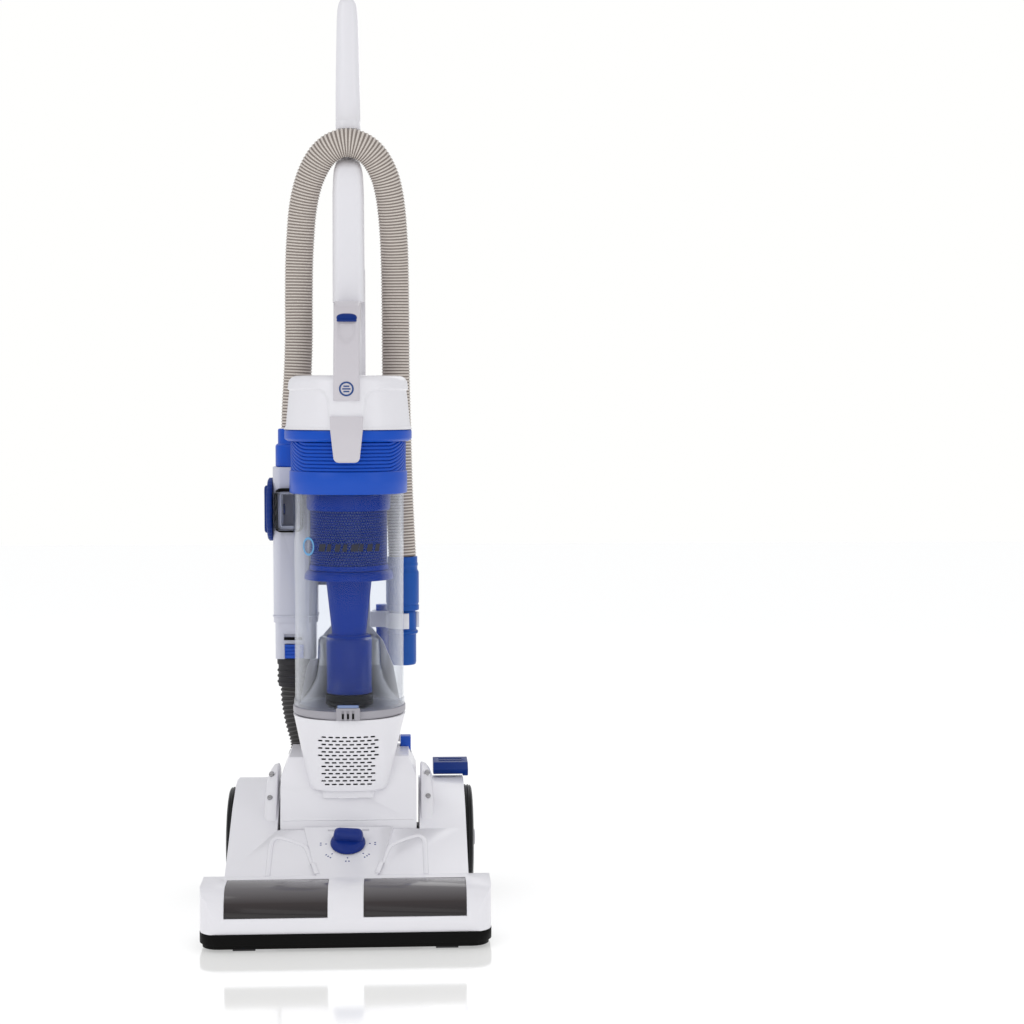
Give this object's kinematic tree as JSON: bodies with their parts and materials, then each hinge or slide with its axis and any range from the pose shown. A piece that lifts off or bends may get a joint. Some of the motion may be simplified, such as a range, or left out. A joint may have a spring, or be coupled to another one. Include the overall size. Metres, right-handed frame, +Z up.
{
  "type": "upright vacuum cleaner",
  "caption": "Upright bagless vacuum cleaner with motorised floor head, clear cyclone dust bin, stretch hose looped over the handle and reclining body.",
  "frame": {"origin": "on the floor under the middle of the machine's box", "axes": "+Z up along the upright handle, -Y to the front (nozzle), +X to the machine's right as seen from the front"},
  "size_m": [0.325, 0.34, 1.095],
  "materials": {
    "white_plastic": "smooth moulded white ABS, semi-gloss",
    "blue_plastic": "moulded blue ABS, semi-gloss",
    "black_rubber": "matt black rubber",
    "dark_plastic": "dark moulded plastic, fine texture",
    "grey_plastic": "light grey moulded plastic",
    "smoke_window": "smoke-tinted glossy plastic",
    "clear_plastic": "clear moulded polycarbonate",
    "grey_hose": "ribbed soft hose, beige grey",
    "dark_hose": "ribbed soft hose, charcoal",
    "steel": "plain steel",
    "filter": "pleated or felted filter medium"
  },
  "bodies": {
    "base": {"nozzle_housing": "white_plastic", "window_left": "smoke_window", "window_right": "smoke_window", "bumper_strip": "black_rubber", "sole_plate": "dark_plastic", "brush_bearing_left": "dark_plastic", "brush_bearing_right": "dark_plastic", "drive_belt": "black_rubber", "wheel_axle_left": "steel", "wheel_axle_right": "steel", "cheek_cover_left": "white_plastic", "cheek_cover_right": "white_plastic", "cheek_screw_left": "steel", "cheek_screw_right": "steel"},
    "brush": {"brush_roll": "dark_plastic"},
    "wheel_left": {"wheel_left": "black_rubber"},
    "wheel_right": {"wheel_right": "black_rubber"},
    "front_carriage": {"front_carriage": "dark_plastic"},
    "roller_left": {"front_roller_left": "dark_plastic"},
    "roller_right": {"front_roller_right": "dark_plastic"},
    "height_knob": {"height_knob": "blue_plastic"},
    "recline_pedal": {"recline_pedal": "blue_plastic"},
    "upright": {"lower_body": "white_plastic", "exhaust_filter": "filter", "motor_can": "steel", "spine": "white_plastic", "cord_gland": "black_rubber", "duct_housing": "white_plastic", "port_gasket": "black_rubber", "hose_cuff": "blue_plastic", "lower_hose_cuff": "dark_plastic", "lower_hose": "dark_hose", "hose_elbow": "grey_plastic", "stretch_hose": "grey_hose", "wand_cuff": "blue_plastic", "tool_clip": "white_plastic", "handle_post": "white_plastic", "handle_grip": "white_plastic"},
    "rotor": {"motor_rotor": "steel"},
    "exhaust_cover": {"exhaust_cover": "white_plastic"},
    "power_button": {"power_button": "blue_plastic"},
    "selector_dial": {"selector_dial": "blue_plastic"},
    "hose_latch": {"hose_latch": "blue_plastic"},
    "cord_hook": {"cord_hook": "white_plastic"},
    "dusting_tool": {"dusting_tool": "blue_plastic"},
    "crevice_tool": {"crevice_tool": "blue_plastic"},
    "bin": {"bin_cylinder": "clear_plastic", "bin_door": "grey_plastic", "door_hinge_pin": "steel", "cyclone_cone": "blue_plastic", "cone_seal": "black_rubber", "shroud": "blue_plastic", "bin_collar": "blue_plastic", "top_ring": "blue_plastic", "bin_cap": "white_plastic", "bin_filter": "filter", "carry_handle": "white_plastic", "bin_inlet": "clear_plastic"},
    "door_latch": {"door_latch": "grey_plastic"},
    "bin_button": {"bin_button": "blue_plastic"}
  },
  "joints": [
    {"name": "recline", "type": "hinge", "parent": "base", "child": "upright", "pos_m": [0, 0.055, 0.09], "axis": [-1, 0, 0], "range_deg": [0, 70]},
    {"name": "brush_spin", "type": "hinge", "parent": "base", "child": "brush", "pos_m": [0, -0.128, 0.031], "axis": [1, 0, 0], "continuous": true},
    {"name": "motor_spin", "type": "hinge", "parent": "upright", "child": "rotor", "pos_m": [0, 0.055, 0.09], "axis": [1, 0, 0], "continuous": true},
    {"name": "wheel_left_spin", "type": "hinge", "parent": "base", "child": "wheel_left", "pos_m": [-0.145, 0.105, 0.065], "axis": [1, 0, 0], "continuous": true},
    {"name": "wheel_right_spin", "type": "hinge", "parent": "base", "child": "wheel_right", "pos_m": [0.145, 0.105, 0.065], "axis": [1, 0, 0], "continuous": true},
    {"name": "height_turn", "type": "hinge", "parent": "base", "child": "height_knob", "pos_m": [0, -0.055, 0.09435], "axis": [0, -0.4382, 0.8989], "range_deg": [0, 120]},
    {"name": "carriage_tilt", "type": "hinge", "parent": "base", "child": "front_carriage", "pos_m": [0, -0.053, 0.0155], "axis": [1, 0, 0], "range_deg": [0, 10]},
    {"name": "roller_left_spin", "type": "hinge", "parent": "front_carriage", "child": "roller_left", "pos_m": [-0.06, -0.083, 0.009], "axis": [1, 0, 0], "continuous": true},
    {"name": "roller_right_spin", "type": "hinge", "parent": "front_carriage", "child": "roller_right", "pos_m": [0.06, -0.083, 0.009], "axis": [1, 0, 0], "continuous": true},
    {"name": "pedal_press", "type": "hinge", "parent": "base", "child": "recline_pedal", "pos_m": [0.1235, 0.101, 0.148], "axis": [-1, 0, 0], "range_deg": [0, 6], "stiffness_Nm_per_rad": 1, "springref_deg": -11.46},
    {"name": "cover_pull", "type": "slide", "parent": "upright", "child": "exhaust_cover", "axis": [0, -1, 0], "range_m": [0, 0.06]},
    {"name": "power_press", "type": "slide", "parent": "upright", "child": "power_button", "axis": [0, 0, -1], "range_m": [0, 0.004], "stiffness_N_per_m": 400, "springref_m": -0.002},
    {"name": "selector_turn", "type": "hinge", "parent": "upright", "child": "selector_dial", "pos_m": [-0.0943, 0.118, 0.4745], "axis": [-1, 0, 0], "range_deg": [0, 90]},
    {"name": "hose_latch_press", "type": "slide", "parent": "upright", "child": "hose_latch", "axis": [0, 1, 0], "range_m": [0, 0.0015], "stiffness_N_per_m": 500, "springref_m": -0.002},
    {"name": "cord_hook_turn", "type": "hinge", "parent": "upright", "child": "cord_hook", "pos_m": [0, 0.144, 0.6], "axis": [0, 1, 0], "range_deg": [0, 180]},
    {"name": "dusting_tool_pull", "type": "slide", "parent": "upright", "child": "dusting_tool", "axis": [0, 0, -1], "range_m": [0, 0.06]},
    {"name": "crevice_tool_pull", "type": "slide", "parent": "upright", "child": "crevice_tool", "axis": [0, 0, 1], "range_m": [0, 0.1]},
    {"name": "bin_release", "type": "slide", "parent": "upright", "child": "bin", "axis": [0, -1, 0], "range_m": [0, 0.22]},
    {"name": "bin_button_press", "type": "slide", "parent": "bin", "child": "bin_button", "axis": [0, 0, -1], "range_m": [0, 0.003], "stiffness_N_per_m": 400, "springref_m": -0.002},
    {"name": "door_latch_flip", "type": "hinge", "parent": "bin", "child": "door_latch", "pos_m": [0, -0.023, 0.248], "axis": [1, 0, 0], "range_deg": [-8, 0], "stiffness_Nm_per_rad": 0.5, "springref_deg": 11.46}
  ],
  "couplings": [
    {"joint": "brush_spin", "follows": "motor_spin", "ratio": 0.6429},
    {"joint": "carriage_tilt", "follows": "height_turn", "ratio": 0.06667}
  ]
}
